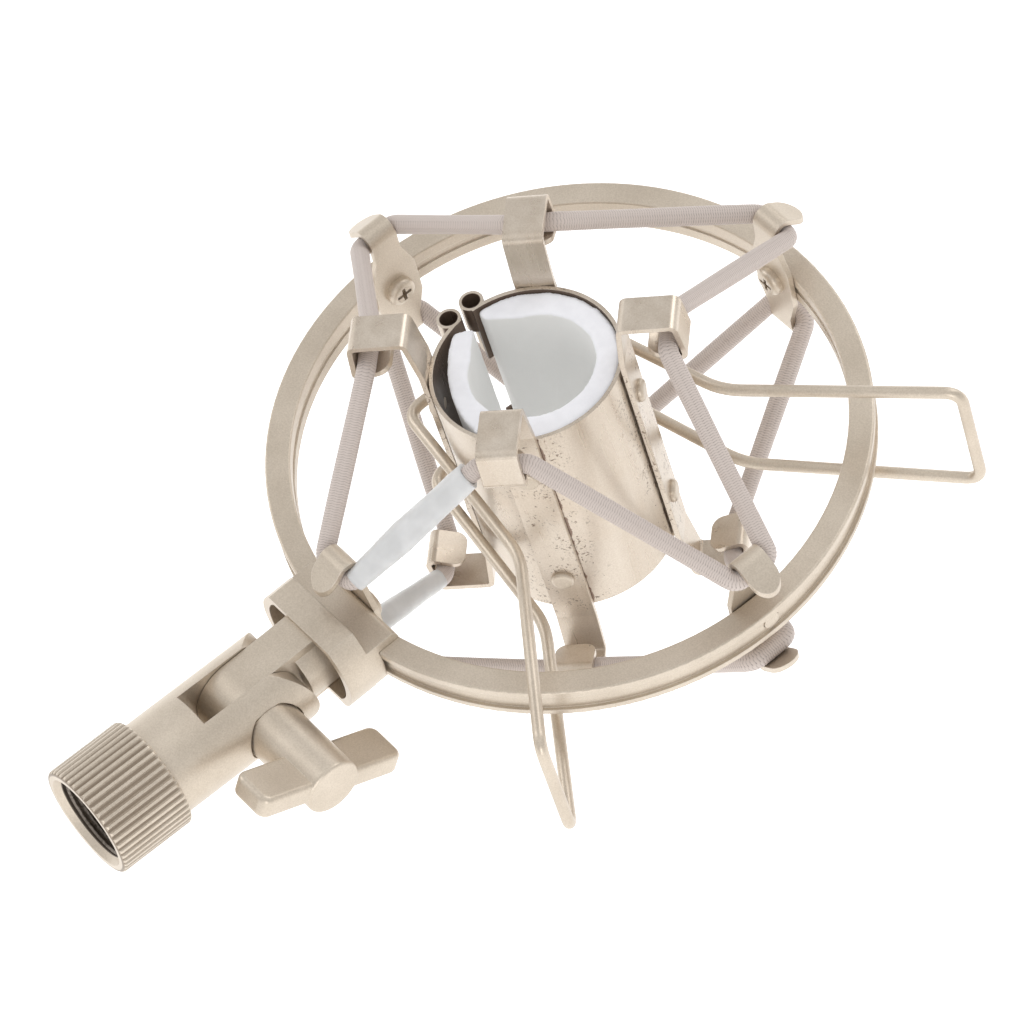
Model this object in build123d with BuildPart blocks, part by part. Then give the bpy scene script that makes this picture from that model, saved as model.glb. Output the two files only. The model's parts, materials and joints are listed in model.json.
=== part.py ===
"""Elastic suspension holder for a small microphone, on a swivelling stand adapter.

Lengths are in millimetres and angles in degrees. The origin is the first full turn of the
stand thread, +Z is the axis of the outer ring and the stem runs out along -Y.
"""
import os
from math import cos, radians, sin, sqrt

from build123d import *

os.makedirs("parts", exist_ok=True)

# swivel barrel with its knurled, threaded collar
collar_radius = 9.85
collar_length = 13.8
knurl_count = 48
knurl_cut = 0.42
barrel_radius = 8.5
mouth_to_pivot = 32.5
slot_width = 7.0
slot_depth = 9.6
thread_radius = 7.5
thread_depth = 12.0
mouth_radius = 8.4
mouth_bevel = 1.2
ring_rise = 2.7

# tongue that turns in the barrel's slot
tongue_radius = 7.1
tongue_thickness = 6.8
stub_radius = 6.3
pivot_to_ring = 69.0
stub_end = 60.0

# wing screw
shank_radius = 2.5
pivot_clearance = 0.06
boss_radius = 5.0
boss_seat = 7.0
boss_end = 22.8
wing_span = 29.0
wing_width = 8.0
wing_thickness = 4.0
wing_rounding = 0.9
wing_angle = -31.0

# ring and its block
ring_outer = 50.0
ring_inner = 45.8
ring_half = 3.2
groove_depth = 0.6
block_radius = 11.0
block_front = 56.0
block_step = 50.8
block_inner = 44.7
block_top = 8.0
saddle_top = 4.5
pocket_radius = 9.5
pocket_top = 6.8
pocket_floor = 52.0

# outer posts on the ring
post_sheet = 1.0
post_back = 45.5
post_half_width = 4.4
neck_half_width = 2.6
neck_bend = 1.8
# each end of a post: height of its bend, slope of its lip, reach of the lip from the ring's axis
post_tops = {
    "right": (13.1, 0.75, 52.4),
    "far": (13.1, 0.85, 52.1),
    "left": (13.2, 1.0, 53.0),
    "stem": (14.4, 0.85, 51.2),
}
post_foot = (12.0, 0.9, 52.9)
stem_foot = (12.0, 0.7, 51.2)
screw_radius = 1.5
head_radius = 2.6
head_height = 1.7
recess_depth = 1.2

# split sleeve
sleeve_outer = 15.93
sleeve_wall = 0.65
sleeve_half = 21.9
split_gap = 2.4
knuckle_x = -17.15
knuckle_y = 2.4
knuckle_radius = 2.05
knuckle_bore = 1.08
knuckle_mouth = 1.5
knuckle_length = 5.5
notch_width = 9.0
notch_low = -4.0
notch_high = 9.5
sleeve_lean = 5.44
sleeve_shift = (-0.95, -2.5, 0)

# hook strips riveted to the sleeve
strip_sheet = 0.9
strip_half_width = 3.33
hook_top = 32.0
hook_reach = 26.4
hook_lean = 1.1
lean_start = 23.8
foot_reach = 27.1
foot_height = 24.4
hook_lip_end = 21.0
hook_lip_height = 26.4
hook_lip_corner = 2.0
rivet_height = 13.3
rivet_head = 1.9
rivet_shank = 1.0

# wire handles
wire_radius = 1.0
pin_grip = 3.2
leg_height = 8.8
grip_height = 11.2

# elastic cord and foam
cord_radius = 1.6
cord_post_z = {"right": 12.2, "far": 12.2, "left": 12.2, "stem": 13.3}
cord_foot_z = 11.0
cord_post_side = 3.8
cord_hook_r = 24.6
cord_hook_z = 27.45
cord_hook_side = 4.0
seat_radius = 10.4
seat_shift = 0.8
pad_half = 21.4

rise_cos = cos(radians(ring_rise))
rise_sin = sin(radians(ring_rise))
pivot_y = (mouth_to_pivot - mouth_bevel) * rise_cos
pivot_z = -(mouth_to_pivot - mouth_bevel) * rise_sin
ring_spot = Location((0, pivot_y + pivot_to_ring, pivot_z))
pivot_spot = Location((0, pivot_y, pivot_z))
barrel_spot = Plane(
    origin=(0, -mouth_bevel * rise_cos, mouth_bevel * rise_sin),
    x_dir=(1, 0, 0),
    z_dir=(0, rise_cos, -rise_sin),
).location
cage_spot = ring_spot * Location(sleeve_shift, (0, -sleeve_lean, 0))


def save(piece, label, spot):
    """Put a finished piece in its place and write it."""
    placed = spot * piece
    placed.label = label
    export_step(placed, f"parts/{label}.step")


def turned(spot, azimuth):
    """The same place turned about its own Z."""
    return spot * Location((0, 0, 0), (0, 0, azimuth))


def lay_route(points, rounding):
    """Straight runs between corners, each corner rounded by a curve."""
    knots = [Vector(*p) for p in points]
    start = knots[0]
    for i in range(1, len(knots) - 1):
        entry = knots[i] + (knots[i - 1] - knots[i]).normalized() * rounding[i - 1]
        leave = knots[i] + (knots[i + 1] - knots[i]).normalized() * rounding[i - 1]
        Line(start, entry)
        Bezier(entry, knots[i], leave)
        start = leave
    Line(start, knots[-1])


def sweep_round(points, rounding, radius):
    """A round wire or cord along a rounded route."""
    with BuildPart() as strand:
        with BuildLine() as route:
            lay_route(points, rounding)
        path = route.wires()[0]
        with BuildSketch(Plane(origin=path @ 0, z_dir=path % 0)):
            Circle(radius)
        sweep(path=path)
    return strand.part


# ---- swivel barrel ----
with BuildPart() as barrel:
    with BuildSketch():
        Circle(barrel_radius)
    extrude(amount=mouth_to_pivot + barrel_radius)
    with BuildSketch(Plane.YZ):
        with Locations((0, mouth_to_pivot / 2)):
            Rectangle(2 * barrel_radius, mouth_to_pivot)
        with Locations((0, mouth_to_pivot)):
            Circle(barrel_radius)
    extrude(amount=2 * barrel_radius, both=True, mode=Mode.INTERSECT)
    with BuildSketch():
        Circle(collar_radius)
    extrude(amount=collar_length)
    rims = barrel.edges().filter_by(GeomType.CIRCLE)
    rims = rims.filter_by(lambda e: abs(e.radius - collar_radius) < 0.01)
    fillet(rims, radius=0.6)
    with BuildSketch():
        with PolarLocations(collar_radius + 0.1, knurl_count):
            Circle(knurl_cut)
    extrude(amount=collar_length, mode=Mode.SUBTRACT)
    with BuildSketch():
        Circle(thread_radius)
    extrude(amount=thread_depth, mode=Mode.SUBTRACT)
    with BuildSketch(Plane.XZ):
        with BuildLine():
            Polyline(
                (0, 0),
                (mouth_radius, 0),
                (thread_radius, mouth_bevel),
                (0, mouth_bevel),
                close=True,
            )
        make_face()
    revolve(axis=Axis.Z, mode=Mode.SUBTRACT)
    with BuildSketch(Plane.XY.offset(mouth_to_pivot - slot_depth)):
        Rectangle(slot_width, 3 * barrel_radius)
    extrude(amount=3 * barrel_radius, mode=Mode.SUBTRACT)
    with BuildSketch(Plane.YZ):
        with Locations((0, mouth_to_pivot)):
            Circle(shank_radius + pivot_clearance)
    extrude(amount=2 * barrel_radius, both=True, mode=Mode.SUBTRACT)
    with BuildSketch(Plane.YZ.offset(boss_seat)):
        with Locations((0, mouth_to_pivot)):
            Circle(boss_radius + 0.3)
    extrude(amount=barrel_radius, mode=Mode.SUBTRACT)
save(barrel.part, "swivel_barrel", barrel_spot)

# ---- wing screw, drawn about its own axis along X ----
with BuildPart() as wing_screw:
    with BuildSketch(Plane.XY):
        with Locations((boss_end - 0.2 - wing_width / 2, 0)):
            RectangleRounded(wing_width, wing_span, 1.8)
    extrude(amount=wing_thickness / 2, both=True)
    levels = wing_screw.edges().group_by(Axis.Z)
    fillet(levels[0] + levels[-1], radius=wing_rounding)
    with BuildSketch(Plane.YZ.offset(boss_seat + 0.05)):
        Circle(boss_radius)
    extrude(amount=boss_end - boss_seat)
    fillet(wing_screw.edges().sort_by(Axis.X)[-1], radius=0.6)
    with BuildSketch(Plane.YZ.offset(-barrel_radius + 0.8)):
        Circle(shank_radius)
    extrude(amount=barrel_radius + boss_seat)
save(wing_screw.part, "wing_screw", pivot_spot * Location((0, 0, 0), (wing_angle, 0, 0)))

# ---- swivel tongue ----
with BuildPart() as tongue:
    with BuildSketch(Plane.XZ.offset(pocket_floor)):
        Circle(stub_radius)
    extrude(amount=stub_end - pocket_floor)
    with BuildSketch(Plane.XZ.offset(pocket_floor)):
        Rectangle(tongue_thickness, 3 * tongue_radius)
    extrude(amount=pivot_to_ring + tongue_radius - pocket_floor)
    with BuildSketch(Plane.YZ):
        with Locations(((-pivot_to_ring - pocket_floor) / 2, 0)):
            Rectangle(pivot_to_ring - pocket_floor, 2 * tongue_radius)
        with Locations((-pivot_to_ring, 0)):
            Circle(tongue_radius)
    extrude(amount=2 * tongue_radius, both=True, mode=Mode.INTERSECT)
    with BuildSketch(Plane.YZ):
        with Locations((-pivot_to_ring, 0)):
            Circle(shank_radius + pivot_clearance)
    extrude(amount=2 * tongue_radius, both=True, mode=Mode.SUBTRACT)
    with BuildSketch(Plane.XZ.offset(pocket_floor)):
        Circle(screw_radius + 0.05)
    extrude(amount=6.05, mode=Mode.SUBTRACT)
save(tongue.part, "swivel_tongue", ring_spot)

# ---- outer ring, with a shallow groove round its outside ----
with BuildPart() as ring:
    with BuildSketch(Plane.XZ):
        with Locations(((ring_inner + ring_outer) / 2, 0)):
            Rectangle(ring_outer - ring_inner, 2 * ring_half)
    revolve(axis=Axis.Z)
    fillet(ring.edges(), radius=0.3)
    with BuildSketch(Plane.XZ):
        with Locations((ring_outer, -0.1)):
            Rectangle(2 * groove_depth, 3.6)
        with Locations((ring_inner, 0)):
            Rectangle(0.5, 1.6)
    revolve(axis=Axis.Z, mode=Mode.SUBTRACT)
    for azimuth in (0, 90, 180, 270):
        with BuildSketch(Plane.YZ.rotated((0, 0, azimuth))):
            Circle(screw_radius + 0.05)
        extrude(amount=1.2 * ring_outer, mode=Mode.SUBTRACT)
save(ring.part, "outer_ring", ring_spot)

# ---- block that joins the ring to the tongue ----
with BuildPart() as block:
    with BuildSketch(Plane.XZ.offset(block_step)):
        Circle(block_radius)
        Rectangle(3 * block_radius, 2 * block_top, mode=Mode.INTERSECT)
    extrude(amount=block_front - block_step)
    with BuildSketch(Plane.XZ.offset(block_inner)):
        Circle(block_radius)
        Rectangle(3 * block_radius, 2 * saddle_top, mode=Mode.INTERSECT)
    extrude(amount=block_step - block_inner)
    inner_rims = block.faces().sort_by(Axis.Y)[-1].edges().filter_by(Axis.X)
    fillet(inner_rims, radius=1.0)
    with BuildSketch(Plane.XZ.offset(pocket_floor)):
        Circle(pocket_radius)
        Rectangle(3 * pocket_radius, 2 * pocket_top, mode=Mode.INTERSECT)
        Rectangle(tongue_thickness + 0.1, 2 * tongue_radius + 0.1)
    extrude(amount=block_front, mode=Mode.SUBTRACT)
    with BuildSketch(Plane.XZ.offset(block_inner - 1)):
        Circle(screw_radius + 0.05)
    extrude(amount=block_front, mode=Mode.SUBTRACT)
    with BuildSketch(Plane.XZ):
        with Locations(((ring_inner + ring_outer) / 2, 0)):
            Rectangle(ring_outer - ring_inner + 0.06, 2 * ring_half + 0.06)
    revolve(axis=Axis.Z, mode=Mode.SUBTRACT)
save(block.part, "ring_block", ring_spot)


def lip_line(middle, end):
    """Side view of one end of a post, from past the tip of the lip to the corner of its bend."""
    height, slope, reach = end
    corner = height + neck_bend * (slope + sqrt(1 + slope**2))
    tip = reach + 1.0
    return [(tip, corner - slope * (tip - middle)), (middle, corner)]


def build_post(back, top, foot):
    """A sheet-metal post whose ends are bent over into sloping lips."""
    middle = back - post_sheet / 2
    tall = 25.0
    with BuildPart() as outline:
        with BuildSketch(Plane.YZ.offset(back - 2 * post_sheet)):
            with BuildLine():
                Polyline(
                    (neck_half_width, -tall),
                    (neck_half_width, -9.5),
                    (post_half_width, -4.0),
                    (post_half_width, 4.0),
                    (neck_half_width, 9.5),
                    (neck_half_width, tall),
                    (-neck_half_width, tall),
                    (-neck_half_width, 9.5),
                    (-post_half_width, 4.0),
                    (-post_half_width, -4.0),
                    (-neck_half_width, -9.5),
                    (-neck_half_width, -tall),
                    close=True,
                )
            make_face()
        extrude(amount=2 * post_sheet)
        for level, end in ((1, top), (-1, foot)):
            nose = end[2] - neck_half_width
            with BuildSketch(Plane.XY):
                with Locations((nose, 0)):
                    Circle(neck_half_width)
                with Locations(((back + nose) / 2 - post_sheet, 0)):
                    Rectangle(nose - back + 2 * post_sheet, 2 * neck_half_width)
            extrude(amount=level * tall)
    upper = lip_line(middle, top)
    lower = [(x, -z) for x, z in lip_line(middle, foot)]
    with BuildPart() as post:
        with BuildSketch(Plane.XZ):
            with BuildLine():
                FilletPolyline(*upper, *reversed(lower), radius=neck_bend)
            trace(line_width=post_sheet)
        extrude(amount=post_half_width, both=True)
        add(outline.part, mode=Mode.INTERSECT)
        with BuildSketch(Plane.YZ):
            Circle(screw_radius + 0.05)
        extrude(amount=1.2 * back, mode=Mode.SUBTRACT)
    return post.part


def build_post_screw(seat, end):
    """A pan-head screw with a cross recess, its head towards the ring's centre."""
    with BuildPart() as screw:
        with BuildSketch(Plane.YZ.offset(seat - head_height)):
            Circle(head_radius)
        extrude(amount=head_height)
        fillet(screw.edges().sort_by(Axis.X)[0], radius=1.0)
        with BuildSketch(Plane.YZ.offset(seat)):
            Circle(screw_radius)
        extrude(amount=end - seat)
        with BuildSketch(Plane.YZ.offset(seat - head_height)):
            Rectangle(2.9, 0.7)
            Rectangle(0.7, 2.9)
        extrude(amount=recess_depth, mode=Mode.SUBTRACT)
    return screw.part


post_azimuths = {"stem": 270, "right": 0, "far": 90, "left": 180}
for side, azimuth in post_azimuths.items():
    back = block_inner if side == "stem" else post_back
    tip = pocket_floor + 6.0 if side == "stem" else ring_outer - 0.4
    foot = stem_foot if side == "stem" else post_foot
    save(build_post(back, post_tops[side], foot), f"post_{side}", turned(ring_spot, azimuth))
    save(build_post_screw(back - post_sheet, tip), f"post_screw_{side}", turned(ring_spot, azimuth))

# ---- split sleeve with rolled knuckles beside the split ----
strip_azimuths = {"front": -45, "right": 45, "back": 135, "left": -135}
with BuildPart() as sleeve:
    with BuildSketch(Plane.XY.offset(-sleeve_half)):
        Circle(sleeve_outer)
        Circle(sleeve_outer - sleeve_wall, mode=Mode.SUBTRACT)
        with Locations((-sleeve_outer, 0)):
            Rectangle(8, split_gap, mode=Mode.SUBTRACT)
    extrude(amount=2 * sleeve_half)
    with BuildSketch(Plane.XY.offset(notch_low)):
        with Locations((-sleeve_outer, 0)):
            Rectangle(8, notch_width)
    extrude(amount=notch_high - notch_low, mode=Mode.SUBTRACT)
    for foot in (-sleeve_half, sleeve_half - knuckle_length):
        with BuildSketch(Plane.XY.offset(foot)):
            with Locations((knuckle_x, knuckle_y), (knuckle_x, -knuckle_y)):
                Circle(knuckle_radius)
        extrude(amount=knuckle_length)
    with BuildSketch(Plane.XY.offset(-sleeve_half)):
        with Locations((knuckle_x, knuckle_y), (knuckle_x, -knuckle_y)):
            Circle(knuckle_bore)
    extrude(amount=2 * sleeve_half, mode=Mode.SUBTRACT)
    for foot in (-sleeve_half, sleeve_half - pin_grip + 0.1):
        with BuildSketch(Plane.XY.offset(foot)):
            with Locations((knuckle_x, knuckle_y), (knuckle_x, -knuckle_y)):
                Circle(knuckle_mouth)
        extrude(amount=pin_grip - 0.1, mode=Mode.SUBTRACT)
    for azimuth in strip_azimuths.values():
        with BuildSketch(Plane.YZ.rotated((0, 0, azimuth))):
            with Locations((0, rivet_height), (0, -rivet_height)):
                Circle(rivet_shank + 0.03)
        extrude(amount=1.5 * sleeve_outer, mode=Mode.SUBTRACT)
save(sleeve.part, "sleeve", cage_spot)

# ---- hook strip: flat on the sleeve, a three-fold hook at each end ----
strip_middle = sleeve_outer + strip_sheet / 2
hook_route = [
    (hook_lip_end, hook_lip_height),
    (foot_reach, foot_height),
    (hook_reach, hook_top),
    (strip_middle + hook_lean, hook_top),
    (strip_middle, lean_start),
]
with BuildPart() as strip:
    with BuildSketch(Plane.XZ):
        with BuildLine():
            FilletPolyline(*hook_route, *[(x, -z) for x, z in reversed(hook_route)], radius=1.0)
        trace(line_width=strip_sheet)
    extrude(amount=strip_half_width, both=True)
    lip_ends = strip.edges().filter_by(lambda e: abs(e.length - strip_sheet) < 0.01)
    fillet(lip_ends, radius=hook_lip_corner)
    with BuildSketch(Plane.YZ):
        with Locations((0, rivet_height), (0, -rivet_height)):
            Circle(rivet_shank + 0.03)
    extrude(amount=1.2 * sleeve_outer, mode=Mode.SUBTRACT)

# ---- rivet, its head outside the strip ----
rivet_seat = sleeve_outer + strip_sheet
with BuildPart() as rivet:
    with BuildSketch(Plane.YZ.offset(rivet_seat)):
        Circle(rivet_head)
    extrude(amount=0.9)
    fillet(rivet.edges().sort_by(Axis.X)[-1], radius=0.6)
    with BuildSketch(Plane.YZ.offset(sleeve_outer - sleeve_wall + 0.02)):
        Circle(rivet_shank)
    extrude(amount=sleeve_wall + strip_sheet - 0.02)

for side, azimuth in strip_azimuths.items():
    save(strip.part, f"hook_strip_{side}", turned(cage_spot, azimuth))
    for end, height in (("upper", rivet_height), ("lower", -rivet_height)):
        spot = turned(cage_spot, azimuth) * Location((0, 0, height))
        save(rivet.part, f"rivet_{side}_{end}", spot)

# ---- foam pads, their inner faces on one seat circle ----
seat_x = seat_shift * cos(radians(50))
seat_y = seat_shift * sin(radians(50))
pad_outer = sleeve_outer - sleeve_wall - 0.05


def rim_point(radius, azimuth):
    """A point at a radius and azimuth about the sleeve's axis."""
    return (radius * cos(radians(azimuth)), radius * sin(radians(azimuth)))


def seat_point(azimuth):
    """A point on the seat circle, by azimuth about the circle's own centre."""
    x, y = rim_point(seat_radius, azimuth)
    return (x + seat_x, y + seat_y)


with BuildPart() as large_pad:
    with BuildSketch(Plane.XY.offset(-pad_half)):
        with BuildLine():
            ThreePointArc(rim_point(pad_outer, 173), rim_point(pad_outer, 50), rim_point(pad_outer, -70))
            Line(rim_point(pad_outer, -70), seat_point(-72))
            ThreePointArc(seat_point(-72), seat_point(40), seat_point(150))
            Line(seat_point(150), rim_point(13.0, 173))
            Line(rim_point(13.0, 173), rim_point(pad_outer, 173))
        make_face()
    extrude(amount=2 * pad_half)
save(large_pad.part, "foam_pad_large", cage_spot)

with BuildPart() as small_pad:
    with BuildSketch(Plane.XY.offset(-pad_half)):
        with BuildLine():
            ThreePointArc(rim_point(15.1, 194), rim_point(12.9, 238), rim_point(14.9, 287))
            Line(rim_point(14.9, 287), seat_point(282))
            ThreePointArc(seat_point(282), seat_point(245), seat_point(215))
            Line(seat_point(215), rim_point(12.8, 183.5))
            Line(rim_point(12.8, 183.5), rim_point(15.1, 194))
        make_face()
    extrude(amount=2 * pad_half)
save(small_pad.part, "foam_pad_small", cage_spot)


def build_handle(side, plan):
    """A wire loop: pinned in both knuckles, round a hook strip, out past the ring."""
    pin_end = sleeve_half - pin_grip
    knuckle = (knuckle_x, side * knuckle_y)
    upper = [(*knuckle, leg_height), *[(x, side * y, z) for x, y, z in plan]]
    lower = [(x, y, -z) for x, y, z in reversed(upper)]
    bends = [2.2, 3.2, 3.6, 3.0]
    points = [(*knuckle, pin_end), *upper, *lower, (*knuckle, -pin_end)]
    return sweep_round(points, [*bends, *reversed(bends)], wire_radius)


south_plan = [(-17.6, 14.9, leg_height), (19.7, 21.1, 9.3), (52.2, 43.2, grip_height)]
north_plan = [(-17.6, 15.1, leg_height), (19.4, 22.1, 9.6), (50.6, 46.3, grip_height)]
save(build_handle(-1, south_plan), "wire_handle_south", cage_spot)
save(build_handle(1, north_plan), "wire_handle_north", cage_spot)


def spot_point(spot, x, y, z):
    """World position of a point given in a placed frame."""
    return tuple((spot * Location((x, y, z))).position)


def cord_corners(level):
    """Corners of one cord loop; level is 1 for the upper loop and -1 for the lower."""
    corners = []
    for side in ("right", "far", "left", "stem"):
        azimuth = post_azimuths[side]
        post = turned(ring_spot, azimuth)
        reach = (block_inner if side == "stem" else post_back) + cord_radius + 0.1
        height = cord_post_z[side] if level > 0 else -cord_foot_z
        corners.append(spot_point(post, reach, -cord_post_side, height))
        corners.append(spot_point(post, reach, cord_post_side, height))
        hook = turned(cage_spot, azimuth + 45)
        corners.append(spot_point(hook, cord_hook_r, -cord_hook_side, level * cord_hook_z))
        corners.append(spot_point(hook, cord_hook_r, cord_hook_side, level * cord_hook_z))
    return corners


def build_cord(corners):
    """One closed loop, laid in two halves that meet in the middle of a free span."""
    bends = [1.6, 1.6, 1.0, 1.0] * 2
    middles = [
        tuple((Vector(*corners[a]) + Vector(*corners[b])) * 0.5) for a, b in ((15, 0), (7, 8))
    ]
    with BuildPart() as loop:
        add(sweep_round([middles[0], *corners[:8], middles[1]], bends, cord_radius))
        add(sweep_round([middles[1], *corners[8:], middles[0]], bends, cord_radius))
    return loop.part


upper_corners = cord_corners(1)
lower_corners = cord_corners(-1)
identity = Location((0, 0, 0))
save(build_cord(upper_corners), "cord_upper", identity)
save(build_cord(lower_corners), "cord_lower", identity)


def build_cord_sleeve(start, end, head, tail):
    """A flattened shrink sleeve on one straight span of a cord."""
    first = Vector(*start)
    run = Vector(*end) - first
    span = Plane(origin=first + run * head, z_dir=run, x_dir=run.cross(Vector(0, 0, 1)))
    with BuildPart(span) as tube:
        with BuildSketch(span):
            Ellipse(2.7, 2.0)
            Circle(cord_radius + 0.03, mode=Mode.SUBTRACT)
        extrude(amount=run.length * (tail - head))
    return tube.part


# the joint of the upper loop lies between the front hook and the stem post,
# that of the lower loop between the left hook and the stem post
upper_joint = build_cord_sleeve(upper_corners[14], upper_corners[13], 0.08, 0.88)
lower_joint = build_cord_sleeve(lower_corners[11], lower_corners[12], 0.08, 0.91)
save(upper_joint, "cord_sleeve_upper", identity)
save(lower_joint, "cord_sleeve_lower", identity)
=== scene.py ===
"""Looks for an elastic suspension holder for a small microphone.

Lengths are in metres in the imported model's frame: +Z is the axis of the outer ring, the stem
runs out along -Y to the stand thread, and the cage is the suspended sleeve with its strips.
"""
import json
import math

import bpy
import numpy as np
from mathutils import Matrix, Vector


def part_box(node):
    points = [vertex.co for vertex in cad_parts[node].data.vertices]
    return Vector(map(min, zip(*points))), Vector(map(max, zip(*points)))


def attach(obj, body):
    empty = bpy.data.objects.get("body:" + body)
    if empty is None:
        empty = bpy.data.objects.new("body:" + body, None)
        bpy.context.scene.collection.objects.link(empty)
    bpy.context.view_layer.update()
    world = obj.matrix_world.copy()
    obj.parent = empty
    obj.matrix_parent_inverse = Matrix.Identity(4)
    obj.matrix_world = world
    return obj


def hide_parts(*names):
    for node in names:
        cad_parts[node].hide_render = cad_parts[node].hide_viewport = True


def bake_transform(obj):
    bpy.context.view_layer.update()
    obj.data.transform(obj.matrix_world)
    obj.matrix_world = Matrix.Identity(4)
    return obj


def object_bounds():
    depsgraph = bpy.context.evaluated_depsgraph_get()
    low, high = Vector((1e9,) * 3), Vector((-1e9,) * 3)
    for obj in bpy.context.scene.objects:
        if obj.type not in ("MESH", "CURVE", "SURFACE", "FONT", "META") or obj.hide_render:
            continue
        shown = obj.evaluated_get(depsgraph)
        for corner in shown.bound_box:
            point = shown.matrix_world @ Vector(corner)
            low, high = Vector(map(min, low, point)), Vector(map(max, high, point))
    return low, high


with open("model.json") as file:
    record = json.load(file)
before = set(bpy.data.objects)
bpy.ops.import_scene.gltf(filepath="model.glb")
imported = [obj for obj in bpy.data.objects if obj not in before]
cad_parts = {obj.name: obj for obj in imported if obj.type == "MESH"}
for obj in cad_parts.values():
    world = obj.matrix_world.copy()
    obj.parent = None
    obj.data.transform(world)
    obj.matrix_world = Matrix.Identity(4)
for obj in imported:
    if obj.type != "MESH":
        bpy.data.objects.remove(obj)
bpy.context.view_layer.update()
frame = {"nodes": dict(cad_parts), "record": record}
record = frame["record"]
mounts = {m["name"]: m for m in record["mounts"]}

MM = 0.001

# ---- places taken from the frame ----
ring_low, ring_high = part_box("outer_ring")
RING_CENTRE = (ring_low + ring_high) / 2
THREAD_MOUTH = Vector(mounts["stand_thread"]["pos_m"])
THREAD_OUT = Vector(mounts["stand_thread"]["axis"]).normalized()
SEAT_CENTRE = Vector(mounts["microphone_seat"]["pos_m"])
CAGE_Z = Vector(mounts["microphone_seat"]["axis"]).normalized()
CAGE_X = Vector((CAGE_Z.z, 0, -CAGE_Z.x))
CAGE_Y = Vector((0, 1, 0))
SEAT_RADIUS = mounts["microphone_seat"]["dims"]["r_mm"] * MM
THREAD_RADIUS = mounts["stand_thread"]["dims"]["r_mm"] * MM
THREAD_LENGTH = mounts["stand_thread"]["dims"]["length_mm"] * MM

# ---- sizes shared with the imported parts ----
SEAT_SHIFT = 0.8 * MM
SEAT_SHIFT_ANGLE = math.radians(50)
SLEEVE_RADIUS = 15.93 * MM
SLEEVE_WALL = 0.65 * MM
STRIP_HALF_WIDTH = 3.33 * MM
KNUCKLE_X = 17.15 * MM
KNUCKLE_Y = 2.4 * MM
PAD_HALF = 21.4 * MM
MOUTH_RADIUS = 8.4 * MM
KNURL_RADIUS = 9.85 * MM
CORD_RADIUS = 1.6 * MM
CORD_POST_Z = {"right": 12.2 * MM, "far": 12.2 * MM, "left": 12.2 * MM, "stem": 13.3 * MM}
CORD_FOOT_Z = 11.0 * MM
CORD_POST_HALF = 3.5 * MM
CORD_POST_BEND = 1.6 * MM
CORD_HOOK_R = 24.6 * MM
CORD_HOOK_Z = 27.45 * MM
CORD_HOOK_HALF = 4.0 * MM
CORD_HOOK_BEND = 1.0 * MM
CORD_CLEAR = 0.1 * MM
POST_BACK = {"right": 45.5 * MM, "far": 45.5 * MM, "left": 45.5 * MM, "stem": 44.7 * MM}
POST_AZIMUTH = {"right": 0, "far": 90, "left": 180, "stem": 270}
LOOP_ORDER = ("right", "far", "left", "stem")
# The ring can swing down past the lowest point of the rest pose; the floor leaves room for that.
HANGING_ROOM = 100 * MM

seat_offset = SEAT_SHIFT * math.cos(SEAT_SHIFT_ANGLE) * CAGE_X
seat_offset = seat_offset + SEAT_SHIFT * math.sin(SEAT_SHIFT_ANGLE) * CAGE_Y
CAGE_CENTRE = SEAT_CENTRE - seat_offset


def in_cage(x, y, z):
    """A point given in the cage's own frame."""
    return CAGE_CENTRE + x * CAGE_X + y * CAGE_Y + z * CAGE_Z


def in_ring(azimuth, reach, side, z):
    """A point given by the azimuth of a post, its distance out, and its offset to the side."""
    a = math.radians(azimuth)
    out = Vector((math.cos(a), math.sin(a), 0))
    left = Vector((-math.sin(a), math.cos(a), 0))
    return RING_CENTRE + out * reach + left * side + Vector((0, 0, z))


# ---- camera, light and floor ----
def make_camera():
    """The camera looks down on the holder with the stem to the lower left."""
    azimuth = math.radians(63.15)
    elevation = math.radians(55.25)
    roll = math.radians(-16.19)
    distance = 0.8878
    aim = RING_CENTRE + Vector((0.6, -14.1, -4.8)) * MM
    back = Vector((
        math.sin(azimuth) * math.cos(elevation),
        -math.cos(azimuth) * math.cos(elevation),
        math.sin(elevation),
    ))
    level = back.to_track_quat("Z", "Y")
    camera_data = bpy.data.cameras.new("camera")
    camera_data.lens = 191.9
    camera_data.sensor_width = 36
    camera_data.clip_start = 0.05
    camera_data.clip_end = 20
    camera = bpy.data.objects.new("camera", camera_data)
    bpy.context.scene.collection.objects.link(camera)
    turn = Matrix.Rotation(roll, 4, back)
    camera.matrix_world = Matrix.Translation(aim + back * distance) @ turn @ level.to_matrix().to_4x4()
    bpy.context.scene.camera = camera


def add_area(name, direction, power):
    """A square soft light that looks at the ring's centre."""
    size, distance = 0.5, 1.1
    light_data = bpy.data.lights.new(name, "AREA")
    light_data.size = size
    light_data.energy = power
    light = bpy.data.objects.new(name, light_data)
    bpy.context.scene.collection.objects.link(light)
    away = Vector(direction).normalized()
    light.location = RING_CENTRE + away * distance
    light.rotation_euler = away.to_track_quat("Z", "Y").to_euler()


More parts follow.
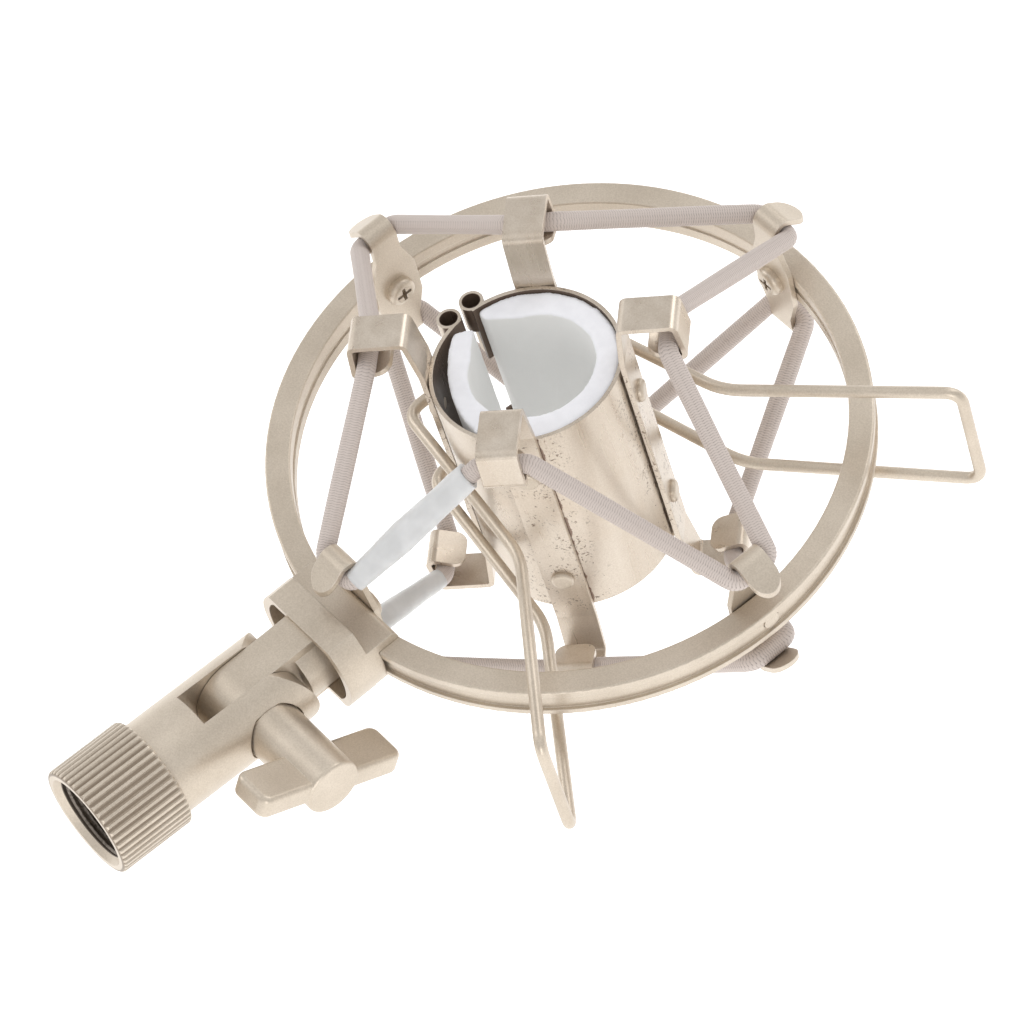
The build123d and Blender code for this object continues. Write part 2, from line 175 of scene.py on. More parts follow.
def make_studio():
    """A white floor, three large soft lights, and a surrounding that is dimmer between horizon and zenith."""
    world = bpy.data.worlds.new("studio")
    bpy.context.scene.world = world
    world.use_nodes = True
    nodes, links = world.node_tree.nodes, world.node_tree.links
    background = nodes["Background"]
    coords = nodes.new("ShaderNodeTexCoord")
    split = nodes.new("ShaderNodeSeparateXYZ")
    fade = nodes.new("ShaderNodeValToRGB")
    stops = fade.color_ramp.elements
    stops.remove(stops[1])
    for stop, grey in ((0.0, 1.0), (0.35, 0.9), (0.7, 0.65), (1.0, 1.0)):
        step = stops[0] if stop == 0 else stops.new(stop)
        step.position = stop
        step.color = (grey, grey, grey, 1)
    links.new(coords.outputs["Generated"], split.inputs[0])
    links.new(split.outputs["Z"], fade.inputs[0])
    links.new(fade.outputs["Color"], background.inputs["Color"])
    background.inputs["Strength"].default_value = 0.95
    add_area("light_front", (0.85, -0.65, 0.42), 2.1)
    add_area("light_left", (-0.9, -0.35, 0.7), 1.5)
    add_area("light_back", (-0.2, 0.9, 0.8), 1.8)
    floor_mesh = bpy.data.meshes.new("floor")
    half = 3.0
    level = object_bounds()[0].z - HANGING_ROOM
    corners = [(-half, -half, level), (half, -half, level), (half, half, level), (-half, half, level)]
    floor_mesh.from_pydata(corners, [], [(0, 1, 2, 3)])
    floor = bpy.data.objects.new("floor", floor_mesh)
    bpy.context.scene.collection.objects.link(floor)
    material = bpy.data.materials.new("floor_white")
    material.use_nodes = True
    shader = material.node_tree.nodes["Principled BSDF"]
    shader.inputs["Base Color"].default_value = (0.82, 0.82, 0.82, 1)
    shader.inputs["Emission Color"].default_value = (1.0, 1.0, 1.0, 1)
    shader.inputs["Emission Strength"].default_value = 0.6
    shader.inputs["Roughness"].default_value = 0.9
    shader.inputs["Specular IOR Level"].default_value = 0.2
    floor_mesh.materials.append(material)
    bpy.context.scene.view_settings.view_transform = "Standard"


# ---- material building ----
class Paint:
    """A node material under construction, with short names for the nodes it uses."""

    def __init__(self, name):
        self.material = bpy.data.materials.new(name)
        self.material.use_nodes = True
        self.nodes = self.material.node_tree.nodes
        self.links = self.material.node_tree.links
        self.shader = self.nodes["Principled BSDF"]
        self.coords = self.nodes.new("ShaderNodeTexCoord").outputs["Object"]

    def put(self, value, socket):
        """Link a socket or set a constant."""
        if isinstance(value, bpy.types.NodeSocket):
            self.links.new(value, socket)
        else:
            socket.default_value = value

    def placed(self, origin, rotation):
        """Coordinates measured from origin, in a frame turned by rotation."""
        shift = self.nodes.new("ShaderNodeMapping")
        shift.vector_type = "TEXTURE"
        shift.inputs["Location"].default_value = origin
        shift.inputs["Rotation"].default_value = rotation
        self.links.new(self.coords, shift.inputs["Vector"])
        return shift.outputs[0]

    def stretched(self, coords, scale):
        """Coordinates with a different scale along each axis."""
        scaling = self.nodes.new("ShaderNodeMapping")
        scaling.inputs["Scale"].default_value = scale
        self.links.new(coords, scaling.inputs["Vector"])
        return scaling.outputs[0]

    def noise(self, scale, detail=2.0, coords=None, roughness=0.5):
        """Soft noise from 0 to 1."""
        node = self.nodes.new("ShaderNodeTexNoise")
        node.inputs["Scale"].default_value = scale
        node.inputs["Detail"].default_value = detail
        node.inputs["Roughness"].default_value = roughness
        self.links.new(coords or self.coords, node.inputs["Vector"])
        return node.outputs["Fac"]

    def cells(self, scale, coords=None):
        """Distance to the nearest of many scattered points."""
        node = self.nodes.new("ShaderNodeTexVoronoi")
        node.inputs["Scale"].default_value = scale
        self.links.new(coords or self.coords, node.inputs["Vector"])
        return node.outputs["Distance"]

    def sums(self, operation, first, second=0.0, third=0.0):
        """One arithmetic step."""
        node = self.nodes.new("ShaderNodeMath")
        node.operation = operation
        for value, socket in zip((first, second, third), node.inputs):
            self.put(value, socket)
        return node.outputs[0]

    def span(self, value, low, high, to_low=0.0, to_high=1.0):
        """value mapped from one range to another, smoothly and without leaving it."""
        node = self.nodes.new("ShaderNodeMapRange")
        node.interpolation_type = "SMOOTHSTEP"
        self.links.new(value, node.inputs["Value"])
        for name, number in (("From Min", low), ("From Max", high), ("To Min", to_low), ("To Max", to_high)):
            node.inputs[name].default_value = number
        return node.outputs[0]

    def blend(self, share, first, second):
        """A colour between two others."""
        node = self.nodes.new("ShaderNodeMix")
        node.data_type = "RGBA"
        self.put(share, node.inputs["Factor"])
        for value, socket in ((first, node.inputs[6]), (second, node.inputs[7])):
            self.put(value if isinstance(value, bpy.types.NodeSocket) else (*value, 1), socket)
        return node.outputs[2]

    def bump(self, height, distance, strength=1.0, normal=None):
        """A normal from a height."""
        node = self.nodes.new("ShaderNodeBump")
        node.inputs["Distance"].default_value = distance
        node.inputs["Strength"].default_value = strength
        self.links.new(height, node.inputs["Height"])
        if normal is not None:
            self.links.new(normal, node.inputs["Normal"])
        return node.outputs["Normal"]

    def soft_edges(self, radius):
        """A normal rounded over the piece's own edges."""
        node = self.nodes.new("ShaderNodeBevel")
        node.samples = 4
        node.inputs["Radius"].default_value = radius
        return node.outputs[0]

    def edge_share(self, rounded):
        """Near 1 on an edge and 0 on open faces."""
        geometry = self.nodes.new("ShaderNodeNewGeometry")
        dot = self.nodes.new("ShaderNodeVectorMath")
        dot.operation = "DOT_PRODUCT"
        self.links.new(geometry.outputs["Normal"], dot.inputs[0])
        self.links.new(rounded, dot.inputs[1])
        return self.span(dot.outputs["Value"], 0.995, 0.9)

    def give(self, **sockets):
        """Set or link the shader's own sockets; an underscore stands for a space."""
        for name, value in sockets.items():
            self.put(value, self.shader.inputs[name.replace("_", " ")])
        return self.material


def srgb(red, green, blue):
    """A display colour, from 0 to 255, as the linear colour that shaders use."""
    return tuple(((c / 255 + 0.055) / 1.055) ** 2.4 for c in (red, green, blue))


CHAMPAGNE = srgb(222, 210, 194)
CHAMPAGNE_DARK = srgb(194, 181, 164)
CHAMPAGNE_PALE = srgb(240, 232, 220)
# A dark brown used as painted shade with tarnish inside the sleeve.
SHADE_AND_TARNISH_BROWN = srgb(82, 60, 46)


def champagne_tone(paint, edge_radius):
    """Satin metallic paint: a fine flake grain, faint clouds and paler, thinner edges."""
    flakes = paint.noise(3600, 3.0, roughness=0.7)
    clouds = paint.noise(90, 3.0)
    rounded = paint.soft_edges(edge_radius)
    edges = paint.sums("MULTIPLY", paint.edge_share(rounded), paint.span(paint.noise(700, 3.0), 0.3, 0.6))
    tone = paint.sums("ADD", paint.sums("MULTIPLY", flakes, 0.6), paint.sums("MULTIPLY", clouds, 0.45))
    colour = paint.blend(paint.span(tone, 0.3, 0.8), CHAMPAGNE_DARK, CHAMPAGNE)
    colour = paint.blend(paint.sums("MULTIPLY", edges, 0.5), colour, CHAMPAGNE_PALE)
    return flakes, rounded, colour


def champagne_paint(name, edge_radius=0.22 * MM):
    """The paint of the ring, posts, block, handles and screws."""
    paint = Paint(name)
    flakes, rounded, colour = champagne_tone(paint, edge_radius)
    return paint.give(
        Base_Color=colour,
        Metallic=0.7,
        Roughness=paint.span(flakes, 0.2, 0.8, 0.32, 0.44),
        Normal=paint.bump(flakes, 0.05 * MM, 0.35, rounded),
    )


def radius_in(paint, place):
    """Distance from the Z axis of these coordinates, with the three coordinates themselves."""
    split = paint.nodes.new("ShaderNodeSeparateXYZ")
    paint.links.new(place, split.inputs[0])
    x, y, z = split.outputs
    squares = paint.sums("ADD", paint.sums("MULTIPLY", x, x), paint.sums("MULTIPLY", y, y))
    return paint.sums("SQRT", squares), x, y, z


def barrel_paint(name, barrel_rotation):
    """The same paint on the barrel: bare metal in the threaded mouth, painted darker still as shade of the
    deep bore, and painted shade with some grime between the knurls.
    """
    paint = Paint(name)
    flakes, rounded, colour = champagne_tone(paint, 0.12 * MM)
    radius, _, _, z = radius_in(paint, paint.placed(THREAD_MOUTH, barrel_rotation))
    near_mouth = paint.span(z, -THREAD_LENGTH - 2.0 * MM, -THREAD_LENGTH - 1.0 * MM)
    below_bevel = paint.sums("LESS_THAN", z, 0.1 * MM)
    # Bare metal in the bore, its colour made darker as painted shade of the deep hole.
    bore_metal_and_shade = paint.sums("MULTIPLY", paint.span(radius, MOUTH_RADIUS, MOUTH_RADIUS - 0.15 * MM), near_mouth)
    bore_metal_and_shade = paint.sums("MULTIPLY", bore_metal_and_shade, below_bevel)
    # Painted shade with some grime: the knurl valleys are darkened towards brown.
    valley = paint.span(radius, KNURL_RADIUS - 0.12 * MM, KNURL_RADIUS - 0.34 * MM)
    outside = paint.span(radius, MOUTH_RADIUS + 0.7 * MM, MOUTH_RADIUS + 0.9 * MM)
    knurl_grime_and_shade = paint.sums("MULTIPLY", paint.sums("MULTIPLY", valley, outside), near_mouth)
    colour = paint.blend(paint.sums("MULTIPLY", knurl_grime_and_shade, 0.75), colour, srgb(112, 94, 76))
    colour = paint.blend(paint.sums("MULTIPLY", bore_metal_and_shade, 0.92), colour, srgb(92, 82, 74))
    return paint.give(
        Base_Color=colour,
        Metallic=paint.span(bore_metal_and_shade, 0.0, 1.0, 0.7, 0.85),
        Roughness=paint.span(flakes, 0.2, 0.8, 0.32, 0.44),
        Normal=paint.bump(flakes, 0.05 * MM, 0.35, rounded),
    )


def sleeve_paint_and_shade(name, cage_rotation):
    """The thin paint of the sleeve and strips: brown inside, round the split and in the knuckles as painted
    shade with tarnish, specks by the strips.
    """
    paint = Paint(name)
    place = paint.placed(CAGE_CENTRE, cage_rotation)
    flakes = paint.noise(3600, 3.0, roughness=0.7)
    streaks = paint.noise(260, 3.0, paint.stretched(place, (1, 1, 0.12)))
    clouds = paint.noise(70, 3.0, place)
    rounded = paint.soft_edges(0.18 * MM)
    radius, x, y, z = radius_in(paint, place)
    height = paint.sums("ABSOLUTE", z)
    wide, deep = paint.sums("ABSOLUTE", x), paint.sums("ABSOLUTE", y)

    cross = paint.sums("MULTIPLY", paint.sums("MULTIPLY", wide, deep), 1 / SLEEVE_RADIUS**2)
    by_strip = paint.span(cross, 0.22, 0.42)
    on_wall = paint.span(radius, SLEEVE_RADIUS + 1.5 * MM, SLEEVE_RADIUS + 1.1 * MM)
    below_hooks = paint.sums("MULTIPLY", paint.span(height, 24 * MM, 21 * MM), on_wall)
    fine = paint.span(paint.noise(2100, 2.0, place, 0.65), 0.57, 0.64)
    coarse = paint.span(paint.noise(900, 3.0, place, 0.7), 0.64, 0.68)
    patches = paint.span(paint.noise(240, 4.0, place, 0.6), 0.45, 0.6)
    dots = paint.sums("MAXIMUM", paint.sums("MULTIPLY", fine, patches), coarse)
    dirt = paint.sums("MULTIPLY", paint.sums("MULTIPLY", dots, by_strip), below_hooks)

    # A thin dark brown line on the wall along each strip's edge: painted shadow under the strip's edge, with
    # rust.
    aside = paint.sums("MULTIPLY", paint.sums("ABSOLUTE", paint.sums("SUBTRACT", wide, deep)), 0.7071)
    off_edge = paint.sums("ABSOLUTE", paint.sums("SUBTRACT", aside, STRIP_HALF_WIDTH))
    rough_line = paint.span(paint.noise(420, 4.0, place), 0.42, 0.75, 0.03 * MM, 0.42 * MM)
    strip_edge_shadow_and_rust = paint.sums("LESS_THAN", off_edge, rough_line)
    off_wall = paint.sums("ABSOLUTE", paint.sums("SUBTRACT", radius, SLEEVE_RADIUS))
    strip_edge_shadow_and_rust = paint.sums("MULTIPLY", strip_edge_shadow_and_rust, paint.sums("LESS_THAN", off_wall, 0.08 * MM))

    # Painted shade with tarnish: the sleeve's inside, the split and the knuckle hollows are turned dark
    # brown.
    inner = paint.span(radius, SLEEVE_RADIUS - 0.2 * MM, SLEEVE_RADIUS - 0.4 * MM)
    at_split = paint.sums("LESS_THAN", deep, 4.7 * MM)
    at_split = paint.sums("MULTIPLY", at_split, paint.sums("LESS_THAN", x, -13.0 * MM))
    near_wall = paint.span(radius, SLEEVE_RADIUS + 1.3 * MM, SLEEVE_RADIUS + 0.7 * MM)
    at_split = paint.sums("MULTIPLY", at_split, near_wall)
    brown = paint.sums("MAXIMUM", inner, at_split)
    brown = paint.sums("MULTIPLY", brown, paint.sums("LESS_THAN", height, 21.85 * MM))
    across = paint.sums("POWER", paint.sums("ABSOLUTE", paint.sums("ADD", x, KNUCKLE_X)), 2.0)
    along = paint.sums("POWER", paint.sums("ABSOLUTE", paint.sums("SUBTRACT", deep, KNUCKLE_Y)), 2.0)
    in_knuckle = paint.sums("LESS_THAN", paint.sums("ADD", across, along), (1.57 * MM) ** 2)
    brown = paint.sums("MAXIMUM", brown, in_knuckle)

    tone = paint.sums("ADD", paint.sums("MULTIPLY", flakes, 0.55), paint.sums("MULTIPLY", streaks, 0.5))
    colour = paint.blend(paint.span(tone, 0.3, 0.8), srgb(198, 184, 167), srgb(224, 213, 199))
    colour = paint.blend(paint.span(clouds, 0.5, 0.8, 0.0, 0.3), colour, srgb(198, 172, 142))
    colour = paint.blend(paint.sums("MULTIPLY", dirt, 0.75), colour, srgb(96, 74, 56))
    colour = paint.blend(paint.sums("MULTIPLY", strip_edge_shadow_and_rust, 0.75), colour, srgb(98, 62, 44))
    colour = paint.blend(paint.sums("MULTIPLY", brown, 0.9), colour, SHADE_AND_TARNISH_BROWN)
    relief = paint.sums("SUBTRACT", paint.sums("MULTIPLY", flakes, 0.4), dirt)
    return paint.give(
        Base_Color=colour,
        Metallic=paint.span(brown, 0.0, 1.0, 0.7, 0.35),
        Roughness=paint.span(streaks, 0.2, 0.8, 0.24, 0.36),
        Normal=paint.bump(relief, 0.05 * MM, 0.4, rounded),
    )


def braid_cover(name):
    """Fine pale thread wound round rubber, darker between the ribs."""
    paint = Paint(name)
    attribute = paint.nodes.new("ShaderNodeAttribute")
    attribute.attribute_name = "relief"
    relief = attribute.outputs["Fac"]
    fibres = paint.noise(2600, 3.0)
    clouds = paint.noise(120, 2.0)
    colour = paint.blend(paint.span(relief, 0.0, 0.75), srgb(136, 124, 117), srgb(206, 194, 187))
    colour = paint.blend(paint.span(clouds, 0.45, 0.8, 0.0, 0.3), colour, srgb(196, 182, 173))
    colour = paint.blend(paint.span(fibres, 0.5, 0.8, 0.0, 0.2), colour, srgb(224, 214, 208))
    return paint.give(
        Base_Color=colour,
        Roughness=paint.span(fibres, 0.2, 0.8, 0.55, 0.8),
        Sheen_Weight=0.25,
        Sheen_Roughness=0.4,
        Normal=paint.bump(fibres, 0.04 * MM, 0.5),
    )


def shrink_plastic(name):
    """Milky heat-shrink tube with soft creases, brightened by a faint painted glow."""
    paint = Paint(name)
    creases = paint.noise(300, 2.0)
    grain = paint.noise(3200, 2.0)
    colour = paint.blend(paint.span(creases, 0.3, 0.75), srgb(202, 202, 202), srgb(214, 214, 214))
    height = paint.sums("ADD", creases, paint.sums("MULTIPLY", grain, 0.08))
    return paint.give(
        Base_Color=colour,
        Roughness=paint.span(grain, 0.2, 0.8, 0.32, 0.46),
        Subsurface_Weight=0.35,
        Subsurface_Radius=(0.0015, 0.0014, 0.0013),
        Subsurface_Scale=1.0,
        # A faint emission makes the tube glow: painted light that brightens it.
        Emission_Color=(1.0, 1.0, 0.98, 1),
        Emission_Strength=0.04,
        Normal=paint.bump(height, 0.06 * MM, 0.25),
    )


def foam(name, cage_rotation):
    """White closed-cell foam, its side faces painted greyer as shade, the whole brightened by a faint painted
    glow.
    """
    paint = Paint(name)
    place = paint.placed(SEAT_CENTRE, cage_rotation)
    cells = paint.cells(2600)
    soft = paint.noise(500, 3.0)
    _, _, _, z = radius_in(paint, place)
    # Painted shade: every face but the top and bottom is turned greyer.
    shaded_sides = paint.span(paint.sums("ABSOLUTE", z), PAD_HALF - 0.15 * MM, PAD_HALF - 0.5 * MM)
    colour = paint.blend(paint.span(soft, 0.3, 0.7), srgb(225, 225, 230), srgb(230, 230, 235))
    colour = paint.blend(paint.sums("MULTIPLY", shaded_sides, 0.75), colour, srgb(210, 210, 206))
    colour = paint.blend(paint.span(cells, 0.3, 0.05, 0.0, 0.12), colour, srgb(206, 206, 212))
    return paint.give(
        Base_Color=colour,
        Roughness=0.85,
        Sheen_Weight=0.15,
        Subsurface_Weight=0.2,
        Subsurface_Radius=(0.001, 0.001, 0.001),
        Subsurface_Scale=1.0,
        # A slight emission makes the foam glow: painted light that brightens it.
        Emission_Color=(1.0, 1.0, 0.98, 1),
        Emission_Strength=0.12,
        Normal=paint.bump(cells, 0.04 * MM, 0.3),
    )


def bare_thread(name):
    """Dark grey bare metal of the threads."""
    paint = Paint(name)
    grain = paint.noise(1800, 3.0)
    return paint.give(
        Base_Color=paint.blend(paint.span(grain, 0.3, 0.7), srgb(96, 88, 80), srgb(140, 131, 122)),
        Metallic=0.9,
        Roughness=paint.span(grain, 0.2, 0.8, 0.3, 0.5),
        Normal=paint.bump(grain, 0.03 * MM, 0.4),
    )


# ---- mesh building ----
def make_object(name, vertices, faces, material, smooth=True):
    """A mesh object in the scene with one material."""
    mesh = bpy.data.meshes.new(name)
    mesh.from_pydata([tuple(v) for v in vertices], [], faces)
    mesh.validate()
    mesh.materials.append(material)
    if smooth:
        mesh.polygons.foreach_set("use_smooth", [True] * len(mesh.polygons))
    obj = bpy.data.objects.new(name, mesh)
    bpy.context.scene.collection.objects.link(obj)
    bpy.context.view_layer.update()
    return obj


def spline_points(name, controls):
    """Points along the smooth closed NURBS line that has these control points."""
    curve = bpy.data.curves.new(name, "CURVE")
    curve.dimensions = "3D"
    curve.resolution_u = 16
    spline = curve.splines.new("NURBS")
    spline.points.add(len(controls) - 1)
    for point, control in zip(spline.points, controls):
        point.co = (*control, 1)
    spline.order_u = 3
    spline.use_cyclic_u = True
    holder = bpy.data.objects.new(name, curve)
    bpy.context.scene.collection.objects.link(holder)
    bpy.context.view_layer.update()
    line = bpy.data.meshes.new_from_object(holder)
    points = np.array([v.co for v in line.vertices])
    bpy.data.objects.remove(holder)
    bpy.data.curves.remove(curve)
    bpy.data.meshes.remove(line)
    return points


def evenly(points, step):
    """The same closed line with points about one step apart, and its length."""
    points = np.vstack([points, points[:1]])
    lengths = np.linalg.norm(np.diff(points, axis=0), axis=1)
    along = np.concatenate([[0], np.cumsum(lengths)])
    count = max(int(round(along[-1] / step)), 8)
    stations = np.linspace(0, along[-1], count, endpoint=False)
    return np.stack([np.interp(stations, along, points[:, k]) for k in range(3)], axis=1), along[-1]


def carried_frames(points):
    """Two unit normals at each point, carried round the closed line and meeting at its ends."""
    ahead = np.roll(points, -1, axis=0)
    behind = np.roll(points, 1, axis=0)
    tangents = ahead - behind
    tangents /= np.linalg.norm(tangents, axis=1)[:, None]
    sides = np.zeros_like(points)
    side = np.cross(tangents[0], (0, 0, 1))
    side /= np.linalg.norm(side)
    for i, tangent in enumerate(tangents):
        side = side - tangent * (side @ tangent)
        side /= np.linalg.norm(side)
        sides[i] = side
    others = np.cross(tangents, sides)
    last = sides[-1] - tangents[0] * (sides[-1] @ tangents[0])
    gap = math.atan2(last @ others[0], last @ sides[0])
    turn = -gap * np.arange(len(points)) / len(points)
    cosine, sine = np.cos(turn)[:, None], np.sin(turn)[:, None]
    return sides * cosine + others * sine, others * cosine - sides * sine


def grid_faces(rows, columns, closed):
    """Quads of a tube with this many rows and columns."""
    faces = []
    for i in range(rows if closed else rows - 1):
        for j in range(columns):
            k = (j + 1) % columns
            n = (i + 1) % rows
            faces.append((i * columns + j, i * columns + k, n * columns + k, n * columns + j))
    return faces


# ---- elastic cord ----
def loop_corners(level):
    """Corners of one cord loop: two at each post and two at each hook; level is 1 or -1."""
    corners = []
    for side in LOOP_ORDER:
        azimuth = POST_AZIMUTH[side]
        reach = POST_BACK[side] + CORD_RADIUS + CORD_CLEAR
        height = CORD_POST_Z[side] if level > 0 else -CORD_FOOT_Z
        for offset in (-CORD_POST_HALF, CORD_POST_HALF):
            corners.append((in_ring(azimuth, reach, offset, height), CORD_POST_BEND))
        hook = math.radians(azimuth + 45)
        for offset in (-CORD_HOOK_HALF, CORD_HOOK_HALF):
            x = CORD_HOOK_R * math.cos(hook) - offset * math.sin(hook)
            y = CORD_HOOK_R * math.sin(hook) + offset * math.cos(hook)
            corners.append((in_cage(x, y, level * CORD_HOOK_Z), CORD_HOOK_BEND))
    return corners


def loop_controls(corners):
    """Control points: each corner, with one point before and one after it at twice its bend."""
    controls = []
    for i, (corner, bend) in enumerate(corners):
        before = (corners[i - 1][0] - corner).normalized()
        after = (corners[(i + 1) % len(corners)][0] - corner).normalized()
        controls += [corner + before * 2 * bend, corner, corner + after * 2 * bend]
    return controls


def wound_cord(name, corners, material):
    """A closed elastic loop with a wound cover: fine ribs across it with a slight zigzag."""
    rib_pitch, rib_depth = 0.42 * MM, 0.1 * MM
    zigzags, zigzag_size = 8, 0.3
    unevenness, unevenness_rate = 0.025, 0.021
    around = 32
    points, length = evenly(spline_points(name, loop_controls(corners)), rib_pitch / 4)
    ribs = round(length / rib_pitch)
    sides, others = carried_frames(points)
    angle = 2 * math.pi * np.arange(around) / around
    zigzag = zigzag_size * np.abs(((angle * zigzags / (2 * math.pi)) % 1) * 2 - 1)
    turns = np.arange(len(points))[:, None] / len(points) * ribs + zigzag[None, :]
    relief = np.abs(np.sin(math.pi * turns)) ** 0.7
    stretch = 1 + unevenness * np.sin(np.arange(len(points)) * unevenness_rate)[:, None]
    radius = (CORD_RADIUS - rib_depth * (1 - relief)) * stretch
    vertices = (
        points[:, None, :]
        + radius[..., None] * np.cos(angle)[None, :, None] * sides[:, None, :]
        + radius[..., None] * np.sin(angle)[None, :, None] * others[:, None, :]
    ).reshape(-1, 3)
    cord = make_object(name, vertices, grid_faces(len(points), around, True), material)
    store = cord.data.attributes.new("relief", "FLOAT", "POINT")
    store.data.foreach_set("value", relief.astype(np.float32).ravel())
    return cord


def stretch_between(piece):
    """Bake the piece's placement into its mesh."""
    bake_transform(piece)


def shrink_tube(name, start, end, widths, heights, material):
    """A flattened sleeve on a straight span, its width and height given at even steps along it."""
    steps, around = 60, 40
    lip, smoothing, ripple_size = 0.35 * MM, 9, 0.18 * MM
    run = end - start
    ahead = run.normalized()
    flat = ahead.cross(Vector((0, 0, 1))).normalized()
    tall = flat.cross(ahead)
    stations = np.linspace(0, 1, steps)
    knots = np.linspace(0, 1, len(widths))
    wide = np.interp(stations, knots, widths)
    high = np.interp(stations, knots, heights)
    rng = np.random.default_rng(7)
    draws = rng.normal(0, 1, steps + smoothing - 1)
    ripple = np.convolve(draws, np.ones(smoothing) / smoothing, "valid") * ripple_size
    rows = []
    for t, w, h, r in zip(stations, wide, high, ripple):
        rows.append((t, w + r, h - 0.6 * r))
    inner = CORD_RADIUS + 0.03 * MM
    rows = [(0.0, inner, inner), (0.0, wide[0] - lip, high[0] - lip)] + rows
    rows = rows + [(1.0, wide[-1] - lip, high[-1] - lip), (1.0, inner, inner)]
    vertices = []
    for t, w, h in rows:
        for j in range(around):
            a = 2 * math.pi * j / around
            squared = 1 + 0.06 * math.cos(4 * a)
            offset = flat * (w * math.cos(a) * squared) + tall * (h * math.sin(a) * squared)
            vertices.append(start + run * t + offset)
    return make_object(name, vertices, grid_faces(len(rows), around, False), material)


# ---- foam pads ----
def cage_ring_point(radius, azimuth):
    """A point of a plan outline, by radius and azimuth about the sleeve's axis."""
    a = math.radians(azimuth)
    return Vector((radius * math.cos(a), radius * math.sin(a)))


def seat_ring_point(azimuth):
    """A point of a plan outline on the seat circle."""
    a = math.radians(azimuth)
    shift = Vector((math.cos(SEAT_SHIFT_ANGLE), math.sin(SEAT_SHIFT_ANGLE))) * SEAT_SHIFT
    return shift + SEAT_RADIUS * Vector((math.cos(a), math.sin(a)))


def foam_pad(name, outline, material):
    """A pad cut from foam sheet: the outline stood up along the cage's axis, its edges softened."""
    levels = 60
    vertices = []
    for i in range(levels):
        z = PAD_HALF * (2 * i / (levels - 1) - 1)
        vertices += [in_cage(p.x, p.y, z) for p in outline]
    count = len(outline)
    faces = grid_faces(levels, count, False)
    faces.append(tuple(reversed(range(count))))
    faces.append(tuple((levels - 1) * count + j for j in range(count)))
    pad = make_object(name, vertices, faces, material)
    remesh = pad.modifiers.new("cells", "REMESH")
    remesh.mode = "VOXEL"
    remesh.voxel_size = 0.42 * MM
    remesh.use_smooth_shade = True
    soften = pad.modifiers.new("soften", "SMOOTH")
    soften.factor = 0.5
    soften.iterations = 5
    return pad


def arc_through(first, middle, last, count):
    """Points along the circle through three points, from the first to the last."""
    a, b = middle - first, last - first
    area = 2 * (a.x * b.y - a.y * b.x)
    centre = first + Vector((
        b.y * a.length_squared - a.y * b.length_squared,
        a.x * b.length_squared - b.x * a.length_squared,
    )) / area
    sign = 1 if area > 0 else -1
    start = math.atan2(first.y - centre.y, first.x - centre.x)
    end = math.atan2(last.y - centre.y, last.x - centre.x)
    sweep = sign * ((sign * (end - start)) % (2 * math.pi))
    radius = (first - centre).length
    angles = [start + sweep * i / (count - 1) for i in range(count)]
    return [centre + radius * Vector((math.cos(t), math.sin(t))) for t in angles]


def large_outline():
    """Plan outline of the large pad: the sleeve's wall outside, the seat circle inside."""
    outer = [cage_ring_point(SLEEVE_RADIUS - SLEEVE_WALL - 0.05 * MM, a) for a in range(-70, 174, 3)]
    inner = [seat_ring_point(a) for a in range(150, -73, -3)]
    return outer + [cage_ring_point(13.0 * MM, 173)] + inner


def small_outline():
    """Plan outline of the small pad: it stands a little off the wall."""
    outer = arc_through(
        cage_ring_point(15.1 * MM, 194), cage_ring_point(12.9 * MM, 238), cage_ring_point(14.9 * MM, 287), 36
    )
    inner = arc_through(seat_ring_point(282), seat_ring_point(245), seat_ring_point(215), 24)
    return outer + inner + [cage_ring_point(12.8 * MM, 183.5)]


# ---- thread ----
def thread_ridges(material):
    """The turns of a 27 per inch thread inside the collar, tapering off at both ends."""
    pitch = 25.4 / 27 * MM
    depth = 0.34 * MM
    per_turn = 72
    root = THREAD_RADIUS + 0.05 * MM
    root_half, crest_half = 0.46, 0.07
    turns = int(THREAD_LENGTH / pitch) - 1
    inward = -THREAD_OUT
    side = Vector((1, 0, 0))
    up = inward.cross(side)
    count = turns * per_turn
    vertices = []
    for i in range(count + 1):
        angle = 2 * math.pi * i / per_turn
        middle = THREAD_MOUTH + inward * (0.5 * pitch + pitch * i / per_turn)
        out = side * math.cos(angle) + up * math.sin(angle)
        fade = min(1.0, i / 12, (count - i) / 12)
        crest = THREAD_RADIUS - depth * fade
        profile = ((root, -root_half), (crest, -crest_half), (crest, crest_half), (root, root_half))
        for radius, shift in profile:
            vertices.append(middle + out * radius + inward * (shift * pitch))
    faces = grid_faces(count + 1, 4, False)
    faces += [(3, 2, 1, 0), tuple(count * 4 + j for j in range(4))]
    return make_object("thread_ridges", vertices, faces, material, smooth=False)


# ---- the scene ----
make_camera()
make_studio()

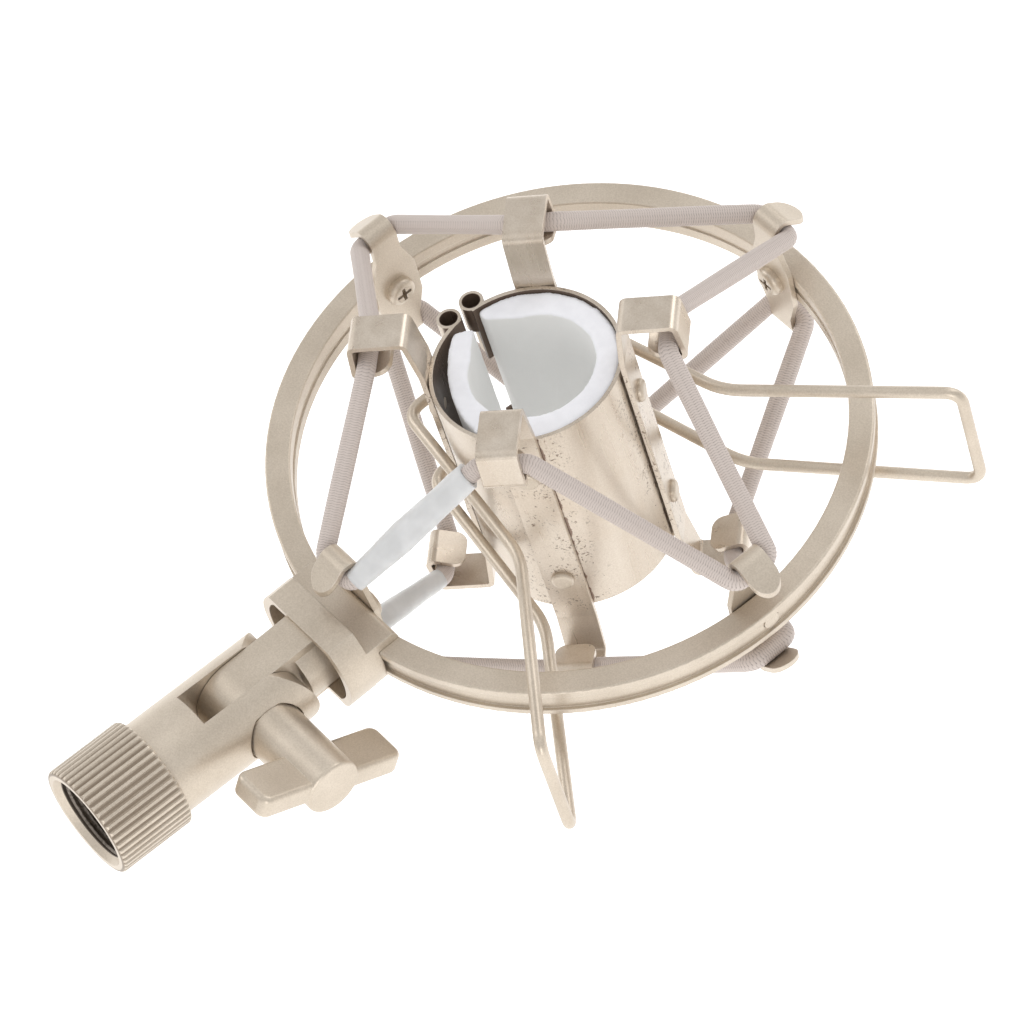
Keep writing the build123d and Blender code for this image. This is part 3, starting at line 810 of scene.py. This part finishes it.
cage_turn = Matrix((CAGE_X, CAGE_Y, CAGE_Z)).transposed().to_euler()
sideways = Vector((1, 0, 0))
barrel_turn = Matrix((sideways, THREAD_OUT.cross(sideways), THREAD_OUT)).transposed().to_euler()
champagne = champagne_paint("champagne_paint")
barrel_champagne = barrel_paint("barrel_paint", barrel_turn)
sleeve_shaded_paint = sleeve_paint_and_shade("sleeve_paint_and_shade", cage_turn)
braid = braid_cover("braid_cover")
shrink = shrink_plastic("shrink_plastic")
foam_white = foam("foam_white", cage_turn)
thread_metal = bare_thread("bare_thread")

for node, obj in frame["nodes"].items():
    paint = champagne
    if node == "sleeve" or node.startswith("hook_strip"):
        paint = sleeve_shaded_paint
    elif node == "swivel_barrel":
        paint = barrel_champagne
    obj.data.materials.clear()
    obj.data.materials.append(paint)

corner_sets = {"upper": loop_corners(1), "lower": loop_corners(-1)}
for side, level in (("upper", 1), ("lower", -1)):
    cord = wound_cord(f"elastic_{side}", corner_sets[side], braid)
    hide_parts(f"cord_{side}")
    stretch_between(cord)

# The four corners of each side run post, post, hook, hook; the sleeves lie next to the stem post.
left_hook_end, stem_post_start, stem_post_end, stem_hook_start = 11, 12, 13, 14
span_start, span_end = corner_sets["upper"][stem_hook_start][0], corner_sets["upper"][stem_post_end][0]
upper_tube = shrink_tube(
    "shrink_tube_upper",
    span_start.lerp(span_end, 0.08),
    span_start.lerp(span_end, 0.97),
    [2.45 * MM, 2.6 * MM, 2.7 * MM, 2.75 * MM, 2.3 * MM, 2.05 * MM],
    [1.8 * MM, 1.8 * MM, 1.85 * MM, 1.9 * MM, 1.85 * MM, 1.8 * MM],
    shrink,
)
span_start, span_end = corner_sets["lower"][left_hook_end][0], corner_sets["lower"][stem_post_start][0]
lower_tube = shrink_tube(
    "shrink_tube_lower",
    span_start.lerp(span_end, 0.08),
    span_start.lerp(span_end, 0.93),
    [1.85 * MM, 2.0 * MM, 2.25 * MM, 2.35 * MM, 2.35 * MM],
    [1.75 * MM, 1.85 * MM, 2.0 * MM, 2.0 * MM, 1.9 * MM],
    shrink,
)
for tube, side, level in ((upper_tube, "upper", 1), (lower_tube, "lower", -1)):
    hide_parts(f"cord_sleeve_{side}")
    stretch_between(tube)

for size, outline in (("large", large_outline()), ("small", small_outline())):
    pad = foam_pad(f"foam_block_{size}", outline, foam_white)
    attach(pad, "cage")
    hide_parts(f"foam_pad_{size}")

threads = thread_ridges(thread_metal)
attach(threads, "barrel")
